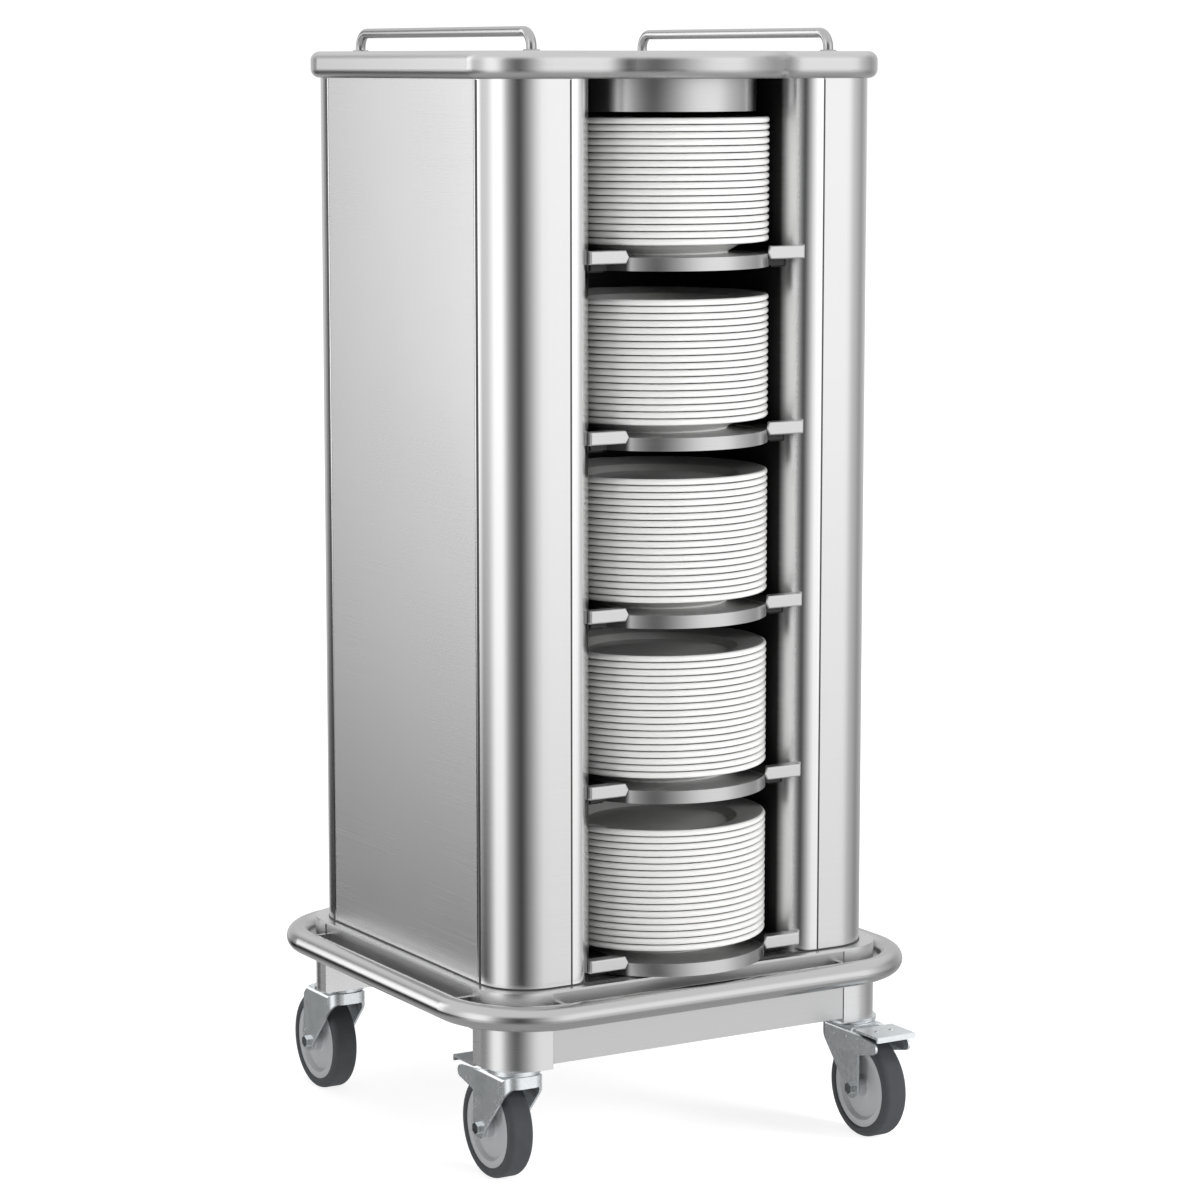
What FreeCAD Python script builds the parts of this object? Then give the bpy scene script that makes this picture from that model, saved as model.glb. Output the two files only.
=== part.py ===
import FreeCAD, Part
import math
import os

from FreeCAD import Vector, Rotation, Placement

# Plate dispenser trolley: a stainless cabinet with stacks of plates in open bays at the front and back,
# on a chassis with a bumper rail and swivel casters. Millimetres, +Z up, front is -Y,
# origin on the floor under the middle of the cabinet.

# Cabinet
CABINET_WIDTH = 529.0
CABINET_DEPTH = 506.0
CABINET_HEIGHT = 1061.0
CORNER_RADIUS = 60.0
SHEET = 1.5
SIDE_SEAM_INSET = 62.0
SEAM_GAP = 1.0

# Open bay and its rounded jambs
BAY_HALF_WIDTH = 137.0
JAMB_RADIUS = 34.0
JAMB_FLAT = 3.0
PARTITION = 2.0
PARTITION_CLEARANCE = 0.8

# Shelves
SHELF_COUNT = 5
TOP_SHELF_EXTRA = 13.5
SHELF_HEIGHT = 15.5
SHELF_WALL = 2.0
SHELF_BULGE = 42.0
SHELF_EDGE_INSET = 24.0
RUNNER_LEG = 20.0
RUNNER_RISE = 12.0
RUNNER_WALL = 2.0
RUNNER_END_GAP = 26.0
SHELF_SIDE_CLEARANCE = 0.8

# Stop bars at the shelf mouths
STOP_REACH = 37.0
STOP_ROOT = 11.0
STOP_HEIGHT = 15.5
STOP_ABOVE_SHELF = 8.5
STOP_DEPTH = 14.0
STOP_NOSE = 4.5
STOP_JAMB_GAP = 0.3
STOP_EDGE_RADIUS = 1.8
STOP_SHELF_GAP = 0.3
STOP_NOSE_GAP = 0.5

# Plates
PLATE_SIDE_CLEARANCE = 4.5
PLATE_BACK_CLEARANCE = 25.0
HAND_SPACE = 30.5
PLATE_PITCH = 8.2
PLATE_FOOT_INSET = 48.0
PLATE_FOOT_WIDTH = 5.0
PLATE_FOOT_HEIGHT = 2.2
PLATE_WELL_MARGIN = 2.0
PLATE_RIM_WIDTH = 34.5
PLATE_RIM_STEP = 1.0
PLATE_WALL = 5.0
PLATE_RIM_LOWER = 14.0
PLATE_RIM_EDGE = 7.2
PLATE_REST_GAP = 0.3

# Top cover, collars and handles
COVER_OVERHANG = 12.0
COVER_THICKNESS = 32.0
COVER_EDGE_RADIUS = 11.0
COVER_SKIN = 3.0
COVER_RIM = 15.0
COVER_NOSE = 24.0
COVER_BULGE_FILLET = 55.0
ROOF_PANEL = 2.0
ROOF_CLEARANCE = 0.2
COLLAR_INSET = 20.5
COLLAR_HEIGHT = 38.0
HANDLE_ROD = 12.0
HANDLE_END_INSET = 38.0
HANDLE_INSET = 60.0
HANDLE_GAP = 16.0
HANDLE_BEND = 18.0

# Chassis
DECK_HEIGHT = 238.0
DECK_SHEET = 3.0
CHASSIS_OVERHANG = 12.0
SOCKET_RADIUS = 56.0
SOCKET_SIDE = 70.0
SOCKET_WALL = 3.0
SOCKET_FLOOR = 5.0
SOCKET_BOTTOM = 144.0
BEAM_RECESS = 1.2
BEAM_DEPTH = 30.0
BEAM_WALL = 2.0
END_BEAM_HEIGHT = 85.0
SIDE_BEAM_HEIGHT = 50.0
BUMPER_TUBE = 30.0
BUMPER_OFFSET = 41.0
BUMPER_BEND = 105.0
BUMPER_DROP = 24.0
BRACKET_THICKNESS = 6.0
BRACKET_HEIGHT = 20.0
BRACKET_SEAM_OFFSET = 9.0

# Casters
WHEEL_RADIUS = 62.5
TYRE_WIDTH = 32.0
TYRE_SHOULDER = 7.0
HUB_RADIUS = 50.0
HUB_BOSS_RADIUS = 13.0
HUB_RIM_WIDTH = 28.0
HUB_BOSS_WIDTH = 44.0
HUB_WEB_WIDTH = 18.0
HUB_RIM_BAND = 9.0
CASTER_TRAIL = 41.0
CASTER_INSET_X = 24.5
CASTER_INSET_Y = 23.0
HEAD_RADIUS = 32.0
HEAD_THICKNESS = 5.0
SWIVEL_GAP = 0.3
STEM_RADIUS = 6.0
STEM_HOLE_CLEARANCE = 0.2
STEM_TAIL = 12.0
NUT_RADIUS = 10.5
NUT_HEIGHT = 10.0
KINGPIN_CLEARANCE = 0.1
KINGPIN_HEAD_RADIUS = 10.0
KINGPIN_HEAD_HEIGHT = 5.0
CROWN_RADIUS = 38.0
CROWN_BOSS_RADIUS = 17.0
CROWN_THICKNESS = 4.5
FORK_SHEET = 3.0
FORK_GAP = 46.0
FORK_BEND = 7.0
FORK_CORNER = 18.0
FORK_END_RADIUS = 13.0
FORK_FRONT = 34.0
FORK_SKIRT = 14.0
FORK_SKIRT_BACK = -29.0
FORK_EAR_REACH = 93.0
FORK_EAR_HEIGHT = 15.0
FORK_EAR_DROP = 32.0
AXLE_RADIUS = 4.0
AXLE_CLEARANCE = 0.1
AXLE_HEAD_RADIUS = 7.5
AXLE_HEAD_HEIGHT = 5.0

# Brake pedals
PEDAL_PIN_Y = 22.0
PEDAL_PIN_DROP = 8.0
PEDAL_PIN_RADIUS = 2.5
PEDAL_EYE_RADIUS = 4.5
PEDAL_SHEET = 3.0
PEDAL_ARM_WIDTH = 32.0
PEDAL_PAD_WIDTH = 56.0
PEDAL_PAD_START = 50.0
PEDAL_PAD_END = 100.0
PEDAL_PAD_RISE = 9.0
PEDAL_TURN = 5.0
PEDAL_EAR_GAP = 0.6
PEDAL_LIP = 7.0

# Worked-out places
FRONT_Y = -CABINET_DEPTH / 2
SIDE_X = CABINET_WIDTH / 2
COVER_BOTTOM = DECK_HEIGHT + CABINET_HEIGHT
COVER_TOP = COVER_BOTTOM + COVER_THICKNESS
RUNNER_BASE = DECK_HEIGHT
SHELF_BOTTOM = DECK_HEIGHT + RUNNER_WALL
SHELF_HALF_WIDTH = BAY_HALF_WIDTH - RUNNER_WALL - SHELF_SIDE_CLEARANCE
FRONT_SEAM_X = BAY_HALF_WIDTH + JAMB_RADIUS + JAMB_FLAT
STOP_INNER_X = BAY_HALF_WIDTH - STOP_REACH
STOP_OUTER_X = BAY_HALF_WIDTH + STOP_ROOT
SHELF_PITCH = (CABINET_HEIGHT - TOP_SHELF_EXTRA) / SHELF_COUNT
SHELF_ARC_HALF = STOP_INNER_X - STOP_NOSE - STOP_NOSE_GAP
SHELF_ARC_RADIUS = (SHELF_ARC_HALF ** 2 + SHELF_BULGE ** 2) / (2 * SHELF_BULGE)
SHELF_ARC_Y = FRONT_Y - SHELF_BULGE + SHELF_ARC_RADIUS
RUNNER_LENGTH = (CABINET_DEPTH - PARTITION) / 2 - 2 * RUNNER_END_GAP
PLATE_RADIUS = BAY_HALF_WIDTH - PLATE_SIDE_CLEARANCE
PLATE_Y = -PARTITION / 2 - PLATE_BACK_CLEARANCE - PLATE_RADIUS
PLATE_FOOT_RADIUS = PLATE_RADIUS - PLATE_FOOT_INSET
PLATE_WELL_RADIUS = PLATE_FOOT_RADIUS + PLATE_WELL_MARGIN
PLATE_RIM_INNER_RADIUS = PLATE_RADIUS - PLATE_RIM_WIDTH
PLATE_TOTAL_HEIGHT = PLATE_RIM_LOWER + PLATE_RIM_EDGE
PLATE_COUNT = int((SHELF_PITCH - SHELF_HEIGHT - PLATE_TOTAL_HEIGHT - HAND_SPACE) / PLATE_PITCH) + 1
COVER_BULGE_RADIUS = SHELF_ARC_RADIUS + COVER_NOSE
COLLAR_RADIUS = BAY_HALF_WIDTH - COLLAR_INSET
HANDLE_SPAN = CABINET_DEPTH - 2 * HANDLE_END_INSET
CASTER_AXIS_X = CABINET_WIDTH / 2 - CASTER_INSET_X
CASTER_AXIS_Y = CABINET_DEPTH / 2 - CASTER_INSET_Y
CHASSIS_X = SIDE_X + CHASSIS_OVERHANG
CHASSIS_Y = CABINET_DEPTH / 2 + CHASSIS_OVERHANG
DECK_UNDERSIDE = DECK_HEIGHT - DECK_SHEET
BUMPER_Z = DECK_HEIGHT - BUMPER_DROP
HEAD_BOTTOM = SOCKET_BOTTOM - HEAD_THICKNESS
CROWN_TOP = HEAD_BOTTOM - SWIVEL_GAP
CROWN_BOTTOM = CROWN_TOP - CROWN_THICKNESS
FORK_HALF = FORK_GAP / 2 + FORK_SHEET
PEDAL_PIN_Z = CROWN_BOTTOM - PEDAL_PIN_DROP / 2 - PEDAL_SHEET / 2

HALF_TURN = Rotation(Vector(0, 0, 1), 180)
CASTERS = {
    "front_left": (-CASTER_AXIS_X, -CASTER_AXIS_Y, 0, True),
    "front_right": (CASTER_AXIS_X, -CASTER_AXIS_Y, 180, True),
    "back_left": (-CASTER_AXIS_X, CASTER_AXIS_Y, 0, False),
    "back_right": (CASTER_AXIS_X, CASTER_AXIS_Y, 0, False),
}


def save(name, *shapes):
    """Write one node: a single solid or a group of separate solids."""
    solids = [solid for shape in shapes for solid in shape.Solids]
    node = solids[0] if len(solids) == 1 else Part.makeCompound(solids)
    node.exportStep("parts/" + name + ".step")


def flat_face(points, place=lambda a, b: Vector(a, b, 0)):
    """Face inside a closed outline: (a, b) is a straight run to a point, (ma, mb, a, b) an arc to it."""
    here = place(*points[0])
    edges = []
    for move in points[1:]:
        there = place(*move[-2:])
        if len(move) == 2:
            edges.append(Part.makeLine(here, there))
        else:
            edges.append(Part.Arc(here, place(*move[:2]), there).toShape())
        here = there
    return Part.Face(Part.Wire(edges))


def block(x0, x1, y0, y1, z0, z1):
    return Part.makeBox(x1 - x0, y1 - y0, z1 - z0, Vector(x0, y0, z0))


def rounded_block(half_x, half_y, radius, z0, z1):
    """Upright prism with rounded corners, centred on the origin."""
    k = radius * (1 - math.sqrt(0.5))
    sx, sy = half_x - radius, half_y - radius
    face = flat_face([
        (-sx, -half_y), (sx, -half_y), (half_x - k, -half_y + k, half_x, -sy),
        (half_x, sy), (half_x - k, half_y - k, sx, half_y),
        (-sx, half_y), (-half_x + k, half_y - k, -half_x, sy),
        (-half_x, -sy), (-half_x + k, -half_y + k, -sx, -half_y),
    ])
    face.translate(Vector(0, 0, z0))
    return face.extrude(Vector(0, 0, z1 - z0))


def copy_at(shape, offset=Vector(0, 0, 0), turn=Rotation()):
    moved = shape.copy()
    moved.Placement = Placement(offset, turn).multiply(moved.Placement)
    return moved


def mirror_x(shape):
    return shape.mirror(Vector(0, 0, 0), Vector(1, 0, 0))


def both_ends(shape):
    """A front piece and its twin turned to the back of the cabinet."""
    return [shape, copy_at(shape, turn=HALF_TURN)]


def tube_along(wire, start, direction, radius):
    ring = Part.Wire(Part.makeCircle(radius, start, direction))
    return wire.makePipeShell([ring], True, False)


# Chassis: deck sheet, corner sockets and beams
def make_chassis():
    save("base_deck", rounded_block(CHASSIS_X, CHASSIS_Y, SOCKET_RADIUS, DECK_UNDERSIDE, DECK_HEIGHT))
    outer = rounded_block(CHASSIS_X, CHASSIS_Y, SOCKET_RADIUS, SOCKET_BOTTOM, DECK_UNDERSIDE)
    inner = rounded_block(CHASSIS_X - SOCKET_WALL, CHASSIS_Y - SOCKET_WALL, SOCKET_RADIUS - SOCKET_WALL,
                          SOCKET_BOTTOM + SOCKET_FLOOR, DECK_UNDERSIDE)
    near_x, near_y = CHASSIS_X - SOCKET_SIDE, CHASSIS_Y - SOCKET_SIDE
    corner = block(near_x, CHASSIS_X, near_y, CHASSIS_Y, SOCKET_BOTTOM, DECK_UNDERSIDE)
    room = block(near_x + SOCKET_WALL, CHASSIS_X, near_y + SOCKET_WALL, CHASSIS_Y,
                 SOCKET_BOTTOM + SOCKET_FLOOR, DECK_UNDERSIDE)
    stem_hole = Part.makeCylinder(STEM_RADIUS + STEM_HOLE_CLEARANCE, SOCKET_FLOOR,
                                  Vector(CASTER_AXIS_X, CASTER_AXIS_Y, SOCKET_BOTTOM))
    socket = outer.common(corner).cut(inner.common(room)).cut(stem_hole)
    save("corner_socket_back_right", socket)
    save("corner_socket_back_left", mirror_x(socket))
    save("corner_socket_front_left", copy_at(socket, turn=HALF_TURN))
    save("corner_socket_front_right", mirror_x(copy_at(socket, turn=HALF_TURN)))

    beam_end = near_x - SEAM_GAP
    face_y = CHASSIS_Y - BEAM_RECESS
    base = DECK_UNDERSIDE - END_BEAM_HEIGHT
    end_beam = block(-beam_end, beam_end, face_y - BEAM_DEPTH, face_y, base, DECK_UNDERSIDE)
    end_beam = end_beam.cut(block(-beam_end, beam_end, face_y - BEAM_DEPTH, face_y - BEAM_WALL,
                                  base + BEAM_WALL, DECK_UNDERSIDE - BEAM_WALL))
    save("end_beams", *both_ends(end_beam))
    beam_end = near_y - SEAM_GAP
    face_x = CHASSIS_X - BEAM_RECESS
    base = DECK_UNDERSIDE - SIDE_BEAM_HEIGHT
    side_beam = block(face_x - BEAM_DEPTH, face_x, -beam_end, beam_end, base, DECK_UNDERSIDE)
    side_beam = side_beam.cut(block(face_x - BEAM_DEPTH, face_x - BEAM_WALL, -beam_end, beam_end,
                                    base + BEAM_WALL, DECK_UNDERSIDE - BEAM_WALL))
    save("side_beams", *both_ends(side_beam))


# Bumper rail: one bent tube all round, on short brackets welded to the beams
def make_bumper():
    half_x, half_y = SIDE_X + BUMPER_OFFSET, CABINET_DEPTH / 2 + BUMPER_OFFSET
    radius = BUMPER_TUBE / 2
    sx, sy = half_x - BUMPER_BEND, half_y - BUMPER_BEND
    run_x = Part.makeCylinder(radius, 2 * sx, Vector(-sx, -half_y, BUMPER_Z), Vector(1, 0, 0))
    run_y = Part.makeCylinder(radius, 2 * sy, Vector(half_x, -sy, BUMPER_Z), Vector(0, 1, 0))
    bend = Part.makeTorus(BUMPER_BEND, radius, Vector(sx, -sy, BUMPER_Z), Vector(0, 0, 1), 0, 360, 90)
    bend.rotate(Vector(sx, -sy, BUMPER_Z), Vector(0, 0, 1), -90)
    other_bend = mirror_x(bend)
    quarter_runs = [run_x, run_y, bend, other_bend]
    pieces = quarter_runs + [copy_at(piece, turn=HALF_TURN) for piece in quarter_runs]
    rail = pieces[0].multiFuse(pieces[1:]).removeSplitter()
    save("bumper_rail", rail)

    z0 = BUMPER_Z - BRACKET_HEIGHT / 2
    z1 = BUMPER_Z + BRACKET_HEIGHT / 2
    x = CHASSIS_X - SOCKET_SIDE - BRACKET_SEAM_OFFSET
    y = CHASSIS_Y - SOCKET_SIDE - BRACKET_SEAM_OFFSET
    front = block(x - BRACKET_THICKNESS / 2, x + BRACKET_THICKNESS / 2,
                  -half_y, -CHASSIS_Y + BEAM_RECESS, z0, z1).cut(run_x)
    side = block(CHASSIS_X - BEAM_RECESS, half_x,
                 y - BRACKET_THICKNESS / 2, y + BRACKET_THICKNESS / 2, z0, z1).cut(run_y)
    pair = [front, mirror_x(front), side, mirror_x(side)]
    save("bumper_brackets", *[twin for piece in pair for twin in both_ends(piece)])


# Cabinet shell: side panels, rounded corner posts, bay walls with jambs, partition
def make_cabinet():
    shell = rounded_block(SIDE_X, CABINET_DEPTH / 2, CORNER_RADIUS, DECK_HEIGHT, COVER_BOTTOM)
    hollow = rounded_block(SIDE_X - SHEET, CABINET_DEPTH / 2 - SHEET, CORNER_RADIUS - SHEET,
                           DECK_HEIGHT, COVER_BOTTOM)
    skin = shell.cut(hollow)
    seam_y = CABINET_DEPTH / 2 - SIDE_SEAM_INSET
    right = skin.common(block(FRONT_SEAM_X, SIDE_X, -seam_y + SEAM_GAP / 2, seam_y - SEAM_GAP / 2,
                              DECK_HEIGHT, COVER_BOTTOM))
    save("right_side_panel", right)
    save("left_side_panel", mirror_x(right))
    post = skin.common(block(FRONT_SEAM_X + SEAM_GAP / 2, SIDE_X, seam_y + SEAM_GAP / 2, CABINET_DEPTH / 2,
                             DECK_HEIGHT, COVER_BOTTOM))
    save("corner_post_back_right", post)
    save("corner_post_back_left", mirror_x(post))
    save("corner_post_front_left", copy_at(post, turn=HALF_TURN))
    save("corner_post_front_right", mirror_x(copy_at(post, turn=HALF_TURN)))

    edge_x = FRONT_SEAM_X - SEAM_GAP / 2
    half_y = CABINET_DEPTH / 2
    centre_x, centre_y = BAY_HALF_WIDTH + JAMB_RADIUS, half_y - JAMB_RADIUS
    near = JAMB_RADIUS * math.sqrt(0.5)
    thin = JAMB_RADIUS - SHEET
    far = thin * math.sqrt(0.5)
    wall = flat_face([
        (edge_x, -half_y), (centre_x, -half_y),
        (centre_x - near, -centre_y - near, BAY_HALF_WIDTH, -centre_y), (BAY_HALF_WIDTH, centre_y),
        (centre_x - near, centre_y + near, centre_x, half_y), (edge_x, half_y),
        (edge_x, half_y - SHEET), (centre_x, half_y - SHEET),
        (centre_x - far, centre_y + far, BAY_HALF_WIDTH + SHEET, centre_y),
        (BAY_HALF_WIDTH + SHEET, -centre_y),
        (centre_x - far, -centre_y - far, centre_x, -half_y + SHEET), (edge_x, -half_y + SHEET),
        (edge_x, -half_y),
    ])
    wall.translate(Vector(0, 0, DECK_HEIGHT))
    wall = wall.extrude(Vector(0, 0, CABINET_HEIGHT))
    save("right_bay_wall", wall)
    save("left_bay_wall", mirror_x(wall))
    save("centre_partition", block(-BAY_HALF_WIDTH, BAY_HALF_WIDTH, -PARTITION / 2, PARTITION / 2,
                                   DECK_HEIGHT, COVER_BOTTOM))


# Shelves: inverted trays with a round front rim, on runner angles, with stop bars at the mouth
def shelf_prism(inset, z0, z1):
    half = SHELF_HALF_WIDTH - inset
    edge_y = FRONT_Y + SHELF_EDGE_INSET + inset
    radius = SHELF_ARC_RADIUS - inset
    arc_x = math.sqrt(radius ** 2 - (SHELF_ARC_Y - edge_y) ** 2)
    back_y = -PARTITION / 2 - PARTITION_CLEARANCE - inset
    face = flat_face([
        (-half, edge_y), (-arc_x, edge_y), (0, SHELF_ARC_Y - radius, arc_x, edge_y),
        (half, edge_y), (half, back_y), (-half, back_y), (-half, edge_y),
    ])
    face.translate(Vector(0, 0, z0))
    return face.extrude(Vector(0, 0, z1 - z0))


def make_shelves():
    shelf_top = SHELF_BOTTOM + SHELF_HEIGHT
    envelope = shelf_prism(0, SHELF_BOTTOM, shelf_top)
    tray = envelope.cut(shelf_prism(SHELF_WALL, SHELF_BOTTOM, shelf_top - SHELF_WALL))

    stop_top = shelf_top + STOP_ABOVE_SHELF
    stop_bottom = stop_top - STOP_HEIGHT
    stop_middle = (stop_top + stop_bottom) / 2
    bar = flat_face([
        (STOP_INNER_X, stop_bottom), (STOP_OUTER_X, stop_bottom), (STOP_OUTER_X, stop_top),
        (STOP_INNER_X, stop_top), (STOP_INNER_X - STOP_NOSE, stop_middle), (STOP_INNER_X, stop_bottom),
    ], lambda a, b: Vector(a, FRONT_Y, b)).extrude(Vector(0, STOP_DEPTH, 0))
    front_edges = [edge for edge in bar.Edges if edge.BoundBox.YMax < FRONT_Y + STOP_DEPTH / 2]
    bar = bar.makeFillet(STOP_EDGE_RADIUS, front_edges)
    jamb = Part.makeCylinder(JAMB_RADIUS + STOP_JAMB_GAP, STOP_HEIGHT,
                             Vector(BAY_HALF_WIDTH + JAMB_RADIUS, FRONT_Y + JAMB_RADIUS, stop_bottom))
    rim = Part.makeCylinder(SHELF_ARC_RADIUS + STOP_SHELF_GAP, STOP_HEIGHT,
                            Vector(0, SHELF_ARC_Y, stop_bottom))
    bar = bar.cut(rim).cut(jamb)

    runner_y = (FRONT_Y - PARTITION / 2) / 2
    y0, y1 = runner_y - RUNNER_LENGTH / 2, runner_y + RUNNER_LENGTH / 2
    leg_x, face_x = BAY_HALF_WIDTH - RUNNER_LEG, BAY_HALF_WIDTH - RUNNER_WALL
    runner = flat_face([
        (leg_x, RUNNER_BASE), (BAY_HALF_WIDTH, RUNNER_BASE),
        (BAY_HALF_WIDTH, RUNNER_BASE + RUNNER_RISE), (face_x, RUNNER_BASE + RUNNER_RISE),
        (face_x, RUNNER_BASE + RUNNER_WALL), (leg_x, RUNNER_BASE + RUNNER_WALL), (leg_x, RUNNER_BASE),
    ], lambda a, b: Vector(a, y0, b)).extrude(Vector(0, y1 - y0, 0))

    bars, runners = [], []
    for level in range(SHELF_COUNT):
        lift = Vector(0, 0, level * SHELF_PITCH)
        save("shelf_%d" % (level + 1), *both_ends(copy_at(tray, lift)))
        for side in (lambda shape: shape, mirror_x):
            bars += both_ends(copy_at(side(bar), lift))
            runners += both_ends(copy_at(side(runner), lift))
    save("stop_bars", *bars)
    save("shelf_runners", *runners)


# Porcelain plates: one turned profile, nested in a stack on each front shelf
def make_plates():
    floor = PLATE_PITCH
    rim_top = PLATE_TOTAL_HEIGHT
    edge = PLATE_RIM_EDGE / 2
    well_top = PLATE_RIM_LOWER + PLATE_RIM_STEP
    wall_low = well_top - PLATE_WALL
    inner_foot = PLATE_FOOT_RADIUS - PLATE_FOOT_WIDTH
    section = flat_face([
        (0, floor), (PLATE_WELL_RADIUS, floor), (PLATE_RIM_INNER_RADIUS, well_top),
        (PLATE_RADIUS - edge, rim_top),
        (PLATE_RADIUS, rim_top - edge, PLATE_RADIUS - edge, PLATE_RIM_LOWER),
        (PLATE_RIM_INNER_RADIUS, wall_low), (PLATE_FOOT_RADIUS, PLATE_FOOT_HEIGHT), (PLATE_FOOT_RADIUS, 0),
        (inner_foot, 0), (inner_foot, PLATE_FOOT_HEIGHT), (0, PLATE_FOOT_HEIGHT), (0, floor),
    ], lambda a, b: Vector(a, 0, b))
    plate = section.revolve(Vector(0, 0, 0), Vector(0, 0, 1), 360)
    for level in range(SHELF_COUNT):
        base = SHELF_BOTTOM + SHELF_HEIGHT + level * SHELF_PITCH + PLATE_REST_GAP
        stack = [copy_at(plate, Vector(0, PLATE_Y, base + index * PLATE_PITCH))
                 for index in range(PLATE_COUNT)]
        save("plate_stack_%d" % (level + 1), *stack)


# Top: cover with a round nose over each bay, roof panel, collars and rod handles
def make_top():
    half_x, half_y = SIDE_X + COVER_OVERHANG, CABINET_DEPTH / 2 + COVER_OVERHANG
    radius = CORNER_RADIUS + COVER_OVERHANG
    k = radius * (1 - math.sqrt(0.5))
    sx, sy = half_x - radius, half_y - radius
    reach = COVER_BULGE_RADIUS + COVER_BULGE_FILLET
    arc_y = -SHELF_ARC_Y
    drop = half_y + COVER_BULGE_FILLET - arc_y
    fillet_x = math.sqrt(reach ** 2 - drop ** 2)
    share = COVER_BULGE_RADIUS / reach
    bulge_x, bulge_y = fillet_x * share, arc_y + drop * share
    turn = math.atan2(drop, fillet_x)
    middle = (turn + math.pi / 2) / 2
    mid_x = fillet_x - COVER_BULGE_FILLET * math.cos(middle)
    mid_y = half_y + COVER_BULGE_FILLET - COVER_BULGE_FILLET * math.sin(middle)
    nose_y = arc_y + COVER_BULGE_RADIUS
    outline = [(-sx, -half_y)]
    for s in (-1, 1):
        outline += [
            (s * fillet_x, s * half_y), (s * mid_x, s * mid_y, s * bulge_x, s * bulge_y),
            (0, s * nose_y, -s * bulge_x, s * bulge_y), (-s * mid_x, s * mid_y, -s * fillet_x, s * half_y),
            (-s * sx, s * half_y), (-s * (half_x - k), s * (half_y - k), -s * half_x, s * sy),
            (-s * half_x, -s * sy), (-s * (half_x - k), -s * (half_y - k), -s * sx, -s * half_y),
        ]
    face = flat_face(outline)
    face.translate(Vector(0, 0, COVER_BOTTOM))
    cover = face.extrude(Vector(0, 0, COVER_THICKNESS))
    level_edges = [edge for edge in cover.Edges if edge.BoundBox.ZLength < 1e-6]
    cover = cover.makeFillet(COVER_EDGE_RADIUS, level_edges)
    hollow = rounded_block(SIDE_X - COVER_RIM, CABINET_DEPTH / 2 - COVER_RIM, CORNER_RADIUS - COVER_RIM,
                           COVER_BOTTOM, COVER_TOP - COVER_SKIN)
    save("top_cover", cover.cut(hollow))
    margin = COVER_RIM + ROOF_CLEARANCE
    save("roof_panel", rounded_block(SIDE_X - margin, CABINET_DEPTH / 2 - margin, CORNER_RADIUS - margin,
                                     COVER_BOTTOM, COVER_BOTTOM + ROOF_PANEL))

    collar_base = COVER_BOTTOM - COLLAR_HEIGHT
    collar = Part.makeCylinder(COLLAR_RADIUS, COLLAR_HEIGHT, Vector(0, PLATE_Y, collar_base))
    collar = collar.cut(Part.makeCylinder(COLLAR_RADIUS - SHEET, COLLAR_HEIGHT - SHEET,
                                          Vector(0, PLATE_Y, collar_base + SHEET)))
    save("bay_collars", *both_ends(collar))

    x, half = SIDE_X - HANDLE_INSET, HANDLE_SPAN / 2
    top = COVER_TOP + HANDLE_GAP + HANDLE_ROD / 2
    bend = HANDLE_BEND
    cut = bend * (1 - math.sqrt(0.5))
    path = Part.Wire([
        Part.makeLine(Vector(x, -half, COVER_TOP), Vector(x, -half, top - bend)),
        Part.Arc(Vector(x, -half, top - bend), Vector(x, -half + cut, top - cut),
                 Vector(x, -half + bend, top)).toShape(),
        Part.makeLine(Vector(x, -half + bend, top), Vector(x, half - bend, top)),
        Part.Arc(Vector(x, half - bend, top), Vector(x, half - cut, top - cut),
                 Vector(x, half, top - bend)).toShape(),
        Part.makeLine(Vector(x, half, top - bend), Vector(x, half, COVER_TOP)),
    ])
    rod = tube_along(path, Vector(x, -half, COVER_TOP), Vector(0, 0, 1), HANDLE_ROD / 2)
    save("right_handle", rod)
    save("left_handle", mirror_x(rod))


# Casters: each is modelled about its own swivel axis with the wheel trailing to +Y
def hex_prism(radius, length, base, axis):
    turn = Rotation(Vector(0, 0, 1), axis)
    sixth = math.pi / 3
    spokes = [Vector(radius * math.cos(k * sixth), radius * math.sin(k * sixth), 0) for k in range(7)]
    corners = [base + turn.multVec(spoke) for spoke in spokes]
    return Part.Face(Part.makePolygon(corners)).extrude(axis * length)


def cross_rod(radius, half_length, y, z):
    """Round rod across the fork, along X."""
    return Part.makeCylinder(radius, 2 * half_length, Vector(-half_length, y, z), Vector(1, 0, 0))


def bent_strip(points, width):
    """A strip of sheet across the fork, from its outline in the Y-Z plane."""
    return flat_face(points, lambda a, b: Vector(-width / 2, a, b)).extrude(Vector(width, 0, 0))


def make_head():
    head = Part.makeCylinder(HEAD_RADIUS, HEAD_THICKNESS, Vector(0, 0, HEAD_BOTTOM))
    stem_top = SOCKET_BOTTOM + SOCKET_FLOOR + NUT_HEIGHT + STEM_TAIL
    pin_base = CROWN_BOTTOM - SWIVEL_GAP - KINGPIN_HEAD_HEIGHT
    stem = Part.makeCylinder(STEM_RADIUS, stem_top - pin_base, Vector(0, 0, pin_base))
    pin_head = Part.makeCylinder(KINGPIN_HEAD_RADIUS, KINGPIN_HEAD_HEIGHT, Vector(0, 0, pin_base))
    return head.fuse([stem, pin_head]).removeSplitter()


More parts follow.
